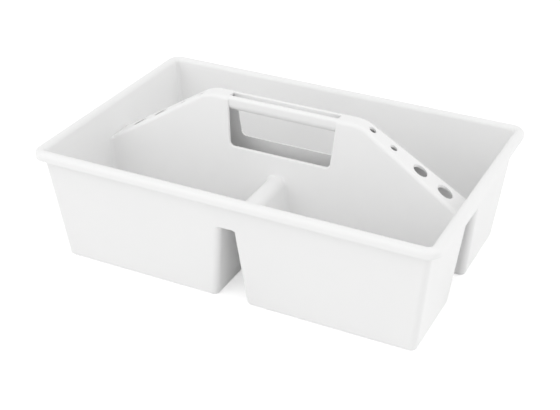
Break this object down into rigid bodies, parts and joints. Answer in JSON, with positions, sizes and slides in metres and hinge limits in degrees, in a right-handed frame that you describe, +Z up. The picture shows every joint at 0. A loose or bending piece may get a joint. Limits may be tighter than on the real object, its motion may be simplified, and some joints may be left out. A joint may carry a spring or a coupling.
{
  "type": "tool storage caddy",
  "caption": "Open carry caddy with two short bins and one long bin, a hollow spine with a slotted hand grip and sloping ramps of tool holes.",
  "frame": {"origin": "middle of the base, on the surface the caddy stands on", "axes": "+X along the length, -Y towards the two short bins, +Y towards the long bin, +Z up"},
  "size_m": [0.399, 0.261, 0.1524],
  "materials": {
    "white_moulding": "satin moulded polypropylene with a fine even texture"
  },
  "bodies": {
    "root": {"front_left_bin": "white_moulding", "front_right_bin": "white_moulding", "rear_bin": "white_moulding", "front_upper_wall": "white_moulding", "rear_upper_wall": "white_moulding", "left_upper_wall": "white_moulding", "right_upper_wall": "white_moulding", "rolled_rim": "white_moulding", "divider_cap": "white_moulding", "spine_front_wall": "white_moulding", "spine_rear_wall": "white_moulding", "left_ramp": "white_moulding", "right_ramp": "white_moulding", "left_shoulder": "white_moulding", "right_shoulder": "white_moulding", "hand_grip": "white_moulding"}
  },
  "joints": []
}
